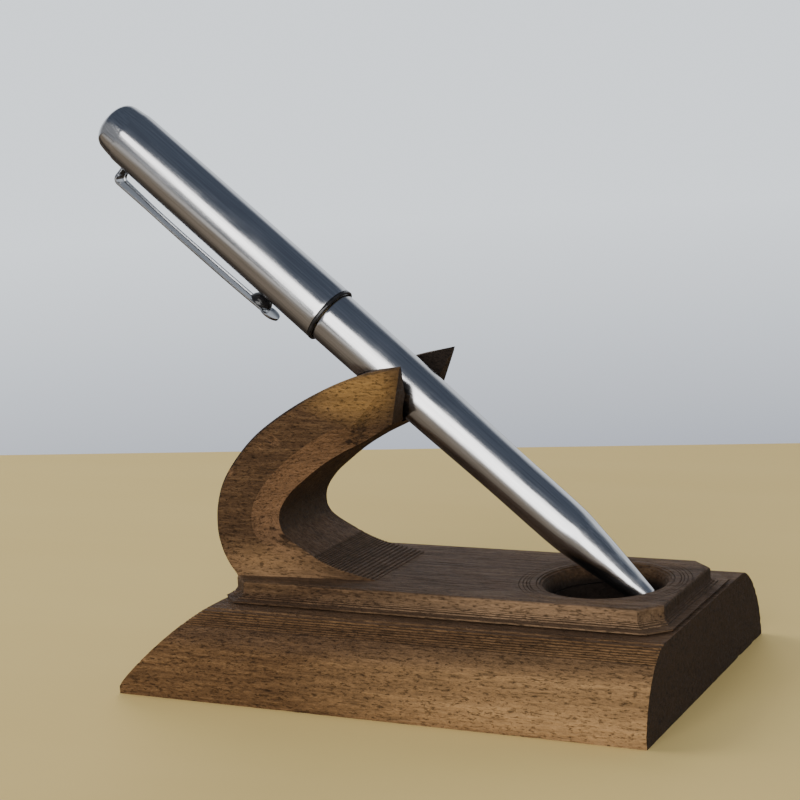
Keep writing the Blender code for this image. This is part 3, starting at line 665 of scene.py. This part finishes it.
def walnut(name, dark, mid, light, shift, spots, bevel_light=None):
    """Oiled walnut with fibres along X: streaks, pores, dark end grain that also paints shade on the end faces, a
    painted greyer light on level faces and painted shade in the hollow.

    The spots are places given a color of their own, paler or darker than the rest; the dark ones round the fork
    and along the moulding's upper part are painted shade.
    """
    material, tree, shader, place = new_material(name)
    fibre = stretched_noise(tree, place, (130, 1500, 1500), 8.0, 0.7, 0.2, shift)
    band = stretched_noise(tree, place, (14, 230, 300), 4.0, 0.6, 0.5, shift)
    cloud = stretched_noise(tree, place, (45, 60, 60), 3.0, 0.5, 0.0, shift)
    speck = stretched_noise(tree, place, (1100, 2600, 2600), 3.0, 0.7, 0.0, shift)
    pores = remap(tree, stretched_noise(tree, place, (800, 2900, 2900), 4.0, 0.7, 0.0, shift), 0.56, 0.68)
    dashes = remap(tree, stretched_noise(tree, place, (220, 2000, 2000), 3.0, 0.6, 0.0, shift), 0.62, 0.70)
    cells = remap(tree, stretched_noise(tree, place, (1500, 1500, 1500), 2.0, 0.5, 0.0, shift), 0.52, 0.72)

    tone = maths(tree, "ADD", maths(tree, "MULTIPLY", fibre, 0.42), maths(tree, "MULTIPLY", band, 0.2))
    tone = maths(tree, "ADD", tone, maths(tree, "MULTIPLY", speck, 0.26))
    tone = maths(tree, "ADD", tone, maths(tree, "MULTIPLY", cloud, 0.12))
    tone = remap(tree, tone, 0.38, 0.62)
    color = mix(tree, remap(tree, tone, 0.0, 0.5), dark, mid)
    color = mix(tree, remap(tree, tone, 0.5, 1.0), color, light)
    normal = node(tree, "ShaderNodeNewGeometry").outputs["True Normal"]
    normal = node(tree, "ShaderNodeSeparateXYZ", {"Vector": normal})
    if bevel_light:
        color = arm_edges(tree, place, color, tone, normal, dark, bevel_light)
    for centre, size, spot_color in spots:
        mask = maths(tree, "MULTIPLY", spot(tree, place, centre, size), remap(tree, band, 0.3, 0.6, 0.6, 1.0))
        color = mix(tree, mask, color, mix(tree, tone, darker(spot_color, 0.5), spot_color))

    # painted light: faces that look up turn greyer, as light falls on them
    level = remap(tree, normal.outputs["Z"], 0.5, 0.97, 0.0, 0.75)
    color = mix(tree, level, color, mix(tree, tone, darker(END_GRAIN_AND_SHADE, 0.55), PAINTED_LEVEL_LIGHT))
    # faces across the fibres: dark end grain, partly painted shade on the end faces
    end = remap(tree, maths(tree, "ABSOLUTE", normal.outputs["X"]), 0.55, 0.9)
    color = mix(tree, end, color, mix(tree, cells, END_GRAIN_AND_SHADE, darker(END_GRAIN_AND_SHADE, 0.45)))
    # dark groove faces, and painted shade inside the hollow
    cut = groove_grain_and_hollow_shade(tree, place, normal)
    color = mix(tree, cut, color, mix(tree, cells, GROOVE_GRAIN_AND_HOLLOW_SHADE, darker(GROOVE_GRAIN_AND_HOLLOW_SHADE, 0.4)))
    worn = maths(tree, "MAXIMUM", maths(tree, "MULTIPLY", pores, 0.6), maths(tree, "MULTIPLY", dashes, 0.35))
    color = mix(tree, worn, color, darker(dark, 0.3))
    tree.links.new(color, shader.inputs["Base Color"])
    tree.links.new(remap(tree, fibre, 0.3, 0.7, 0.8, 0.55), shader.inputs["Roughness"])
    shader.inputs["Specular IOR Level"].default_value = 0.25

    relief = maths(tree, "SUBTRACT", maths(tree, "ADD", fibre, maths(tree, "MULTIPLY", speck, 0.6)),
                   maths(tree, "MULTIPLY", worn, 0.8))
    bump = node(tree, "ShaderNodeBump", {"Height": relief, "Strength": 0.85, "Distance": 0.0006})
    tree.links.new(bump.outputs["Normal"], shader.inputs["Normal"])
    return material


def satin_steel(name, dark, light, rough_low, rough_high):
    """Stainless steel: fine streaks along the pen, faint smudges."""
    material, tree, shader, place = new_material(name)
    streak = stretched_noise(tree, place, (3200, 3200, 60), 4.0, 0.6)
    turning = stretched_noise(tree, place, (60, 60, 1800), 2.0, 0.5)
    smudge = stretched_noise(tree, place, (140, 140, 60), 4.0, 0.6, 0.8)
    tree.links.new(mix(tree, remap(tree, streak, 0.35, 0.65), dark, light), shader.inputs["Base Color"])
    polish = maths(tree, "ADD", maths(tree, "MULTIPLY", smudge, 0.7), maths(tree, "MULTIPLY", streak, 0.3))
    tree.links.new(remap(tree, polish, 0.35, 0.65, rough_low, rough_high), shader.inputs["Roughness"])
    shader.inputs["Metallic"].default_value = 1.0
    shader.inputs["Anisotropic"].default_value = 0.3
    relief = maths(tree, "ADD", streak, maths(tree, "MULTIPLY", turning, 0.3))
    bump = node(tree, "ShaderNodeBump", {"Height": relief, "Strength": 0.04, "Distance": 0.00004})
    tree.links.new(bump.outputs["Normal"], shader.inputs["Normal"])
    return material


def simple_finish(name, dark, light, rough_low, rough_high, metallic=0.0):
    """Finish of a small piece: mottled color and roughness with a fine relief."""
    material, tree, shader, place = new_material(name)
    mottle = stretched_noise(tree, place, (900, 900, 900), 4.0, 0.6)
    tree.links.new(mix(tree, remap(tree, mottle, 0.35, 0.65), dark, light), shader.inputs["Base Color"])
    tree.links.new(remap(tree, mottle, 0.35, 0.65, rough_low, rough_high), shader.inputs["Roughness"])
    shader.inputs["Metallic"].default_value = metallic
    bump = node(tree, "ShaderNodeBump", {"Height": mottle, "Strength": 0.1, "Distance": 0.00005})
    tree.links.new(bump.outputs["Normal"], shader.inputs["Normal"])
    return material


# places in the wood, mm: middle, size in each direction, color
prong_gold = ((-6.5, 10.7, 50.0), (14.0, 7.0, 6.5), (0.38, 0.215, 0.07))
fork_shade = ((1.0, 8.6, 44.5), (11.0, 5.0, 6.5), (0.06, 0.033, 0.016))
# painted shade: the dark border along the prong's end, next to the pen
fork_edge_shade = ((2.4, 9.8, 49.5), (5.8, 5.0, 13.0), (0.045, 0.024, 0.011))
foot_gold = ((-28.0, 11.5, 18.5), (19.0, 6.0, 5.5), (0.34, 0.195, 0.09))
deck_tan = ((30.0, 15.1, 14.0), (50.0, 7.0, 9.0), (0.40, 0.25, 0.138))
base_tan = ((42.0, 30.0, 5.0), (60.0, 14.0, 11.0), (0.52, 0.31, 0.14))
base_shade = ((0.0, 21.0, 9.8), (90.0, 7.5, 3.6), (0.13, 0.075, 0.045))
base_wood = walnut("walnut_base", (0.06, 0.029, 0.011), (0.15, 0.077, 0.03), (0.28, 0.155, 0.064),
                   (3.0, 1.0, 7.0), (base_tan, base_shade))
# the top's last color is the painted light on the chamfered face inside the arm's crease
deck_wood = walnut("walnut_top", (0.04, 0.02, 0.009), (0.088, 0.046, 0.021), (0.175, 0.1, 0.047),
                   (9.0, 4.0, 2.0), (prong_gold, fork_shade, fork_edge_shade, foot_gold, deck_tan),
                   (0.26, 0.14, 0.07))
steel = satin_steel("steel", (0.5, 0.5, 0.51), (0.66, 0.66, 0.67), 0.13, 0.25)
clip_steel = satin_steel("steel_clip", (0.3, 0.31, 0.33), (0.5, 0.51, 0.53), 0.12, 0.24)
black = simple_finish("black", (0.008, 0.008, 0.009), (0.02, 0.02, 0.022), 0.12, 0.28)
rubber = simple_finish("black_rubber", (0.012, 0.012, 0.012), (0.03, 0.03, 0.03), 0.6, 0.8)
brass = simple_finish("brass", (0.5, 0.35, 0.12), (0.68, 0.5, 0.2), 0.22, 0.4, 1.0)
zinc = simple_finish("zinc", (0.4, 0.4, 0.4), (0.55, 0.55, 0.54), 0.3, 0.45, 1.0)
ink = simple_finish("ink", (0.006, 0.01, 0.08), (0.012, 0.02, 0.15), 0.1, 0.2)

slot_materials = {"steel": steel, "steel_clip": clip_steel, "black": black, "black_rubber": rubber,
                  "brass": brass, "zinc": zinc, "ink": ink, "walnut_base": base_wood,
                  "walnut_top": deck_wood}
for subpart in frame["record"]["subparts"]:
    carried = frame["nodes"][subpart["node"]]
    carried.data.materials.clear()
    carried.data.materials.append(slot_materials[subpart["material_slot"]])

make_stand(base_wood, deck_wood)
make_barrel(steel)
make_cap(steel)
make_ring(black)
make_clip(clip_steel, black)
make_point(brass)


# ---- floor, light, camera --------------------------------------------------------------------------
TABLE_EDGE = Vector((-211.3, 140.6, 0.0)), Vector((11.8, 189.4, 0.0))     # two places on the far edge, mm
TABLE_REACH, TABLE_DEPTH = 1500.0, 1300.0
LIGHT_TARGET = (0.0, 0.0, 0.04)


def make_floor():
    """Pale table top whose far edge runs close behind the stand; the steel shows it as a painted reflection, with
    painted shade near and behind the stand and a painted whitish sheen far in front.
    """
    edge_start, edge_end = TABLE_EDGE
    along = (edge_end - edge_start).normalized()
    toward = Vector((along.y, -along.x, 0.0))
    middle = (edge_start + edge_end) / 2
    left, right = middle - along * TABLE_REACH, middle + along * TABLE_REACH
    corners = [left, left + toward * TABLE_DEPTH, right + toward * TABLE_DEPTH, right]
    floor = piece("floor", corners, [(0, 1, 2, 3)])
    material, tree, shader, place = new_material("floor")
    cloud = stretched_noise(tree, place, (6, 30, 6), 3.0, 0.5)
    pale = mix(tree, cloud, (0.78, 0.58, 0.215), (0.84, 0.64, 0.26))
    back = node(tree, "ShaderNodeSeparateXYZ", {"Vector": place}).outputs["Y"]
    # painted shade for the steel: dim brown in front of the stand, almost black behind it
    under = mix(tree, remap(tree, back, -0.05, 0.02), (0.27, 0.215, 0.155), (0.04, 0.028, 0.018))
    # painted sheen for the steel: far in front the floor turns whitish
    mirrored = mix(tree, remap(tree, back, -0.22, -0.5), under, (0.85, 0.82, 0.76))
    in_steel = node(tree, "ShaderNodeLightPath").outputs["Is Glossy Ray"]
    tree.links.new(mix(tree, in_steel, pale, mirrored), shader.inputs["Base Color"])
    shader.inputs["Roughness"].default_value = 0.75
    shader.inputs["Specular IOR Level"].default_value = 0.2
    floor.data.materials.append(material)


def make_light(name, place, size, power, color, mirrored=True):
    """Soft rectangular light that faces the stand; the steel shows it only when it is mirrored."""
    light = bpy.data.lights.new(name, "AREA")
    light.shape = "RECTANGLE"
    light.size, light.size_y = size
    light.energy = power
    light.color = color
    obj = bpy.data.objects.new(name, light)
    bpy.context.scene.collection.objects.link(obj)
    obj.location = place
    obj.visible_glossy = mirrored
    obj.rotation_euler = (Vector(LIGHT_TARGET) - Vector(place)).to_track_quat("-Z", "Y").to_euler()


def make_world():
    """A plain pale backdrop for the camera; a room with a pale back wall and a dark ceiling for the steel."""
    world = bpy.data.worlds.new("room")
    bpy.context.scene.world = world
    world.use_nodes = True
    tree = world.node_tree
    background = tree.nodes["Background"]
    direction = node(tree, "ShaderNodeTexCoord").outputs["Generated"]
    parts = node(tree, "ShaderNodeSeparateXYZ", {"Vector": direction})
    height, back = parts.outputs["Z"], parts.outputs["Y"]
    walls = mix(tree, remap(tree, back, -0.2, 0.3), (0.30, 0.31, 0.33), (0.95, 1.0, 1.06))
    room = mix(tree, remap(tree, height, 0.45, 0.65), walls, (0.09, 0.11, 0.15))
    room = mix(tree, remap(tree, height, 0.0, -0.05), room, (0.12, 0.10, 0.08))
    backdrop = mix(tree, remap(tree, height, -0.205, -0.08), (0.60, 0.64, 0.73), (1.2, 1.28, 1.36))
    seen = node(tree, "ShaderNodeLightPath").outputs["Is Camera Ray"]
    tree.links.new(mix(tree, seen, room, backdrop), background.inputs["Color"])
    background.inputs["Strength"].default_value = 1.0


CAMERA_PLACE = (0.14405, -0.28508, 0.10362)
CAMERA_AZIMUTH, CAMERA_ELEVATION, CAMERA_ROLL = 27.64, 10.0, -3.98     # degrees
CAMERA_LENS, CAMERA_SENSOR = 85.24, 36.0


def make_camera():
    """Camera at the photo's angle: azimuth from the front towards +X, then elevation and roll."""
    azimuth, elevation, roll = (math.radians(v) for v in (CAMERA_AZIMUTH, CAMERA_ELEVATION, CAMERA_ROLL))
    back = Vector((math.sin(azimuth) * math.cos(elevation), -math.cos(azimuth) * math.cos(elevation),
                   math.sin(elevation)))
    right = Vector((0, 0, 1)).cross(back).normalized()
    up = back.cross(right)
    rolled_right = right * math.cos(roll) + up * math.sin(roll)
    rolled_up = up * math.cos(roll) - right * math.sin(roll)
    camera = bpy.data.objects.new("camera", bpy.data.cameras.new("camera"))
    bpy.context.scene.collection.objects.link(camera)
    matrix = Matrix((rolled_right, rolled_up, back)).transposed().to_4x4()
    matrix.translation = CAMERA_PLACE
    camera.matrix_world = matrix
    camera.data.lens = CAMERA_LENS
    camera.data.sensor_width = CAMERA_SENSOR
    camera.data.clip_start = 0.01
    camera.data.clip_end = 50.0
    bpy.context.scene.camera = camera


make_floor()
make_light("window", (0.2, -1.25, 0.35), (1.35, 1.12), 21.0, (1.0, 0.985, 0.96))
make_light("back_fill", (-0.5, 1.3, 0.9), (0.9, 0.9), 8.0, (1.0, 0.99, 0.97), mirrored=False)
make_light("side_fill", (-1.1, 0.1, 0.9), (0.7, 0.7), 7.0, (1.0, 0.97, 0.92), mirrored=False)
make_world()
make_camera()
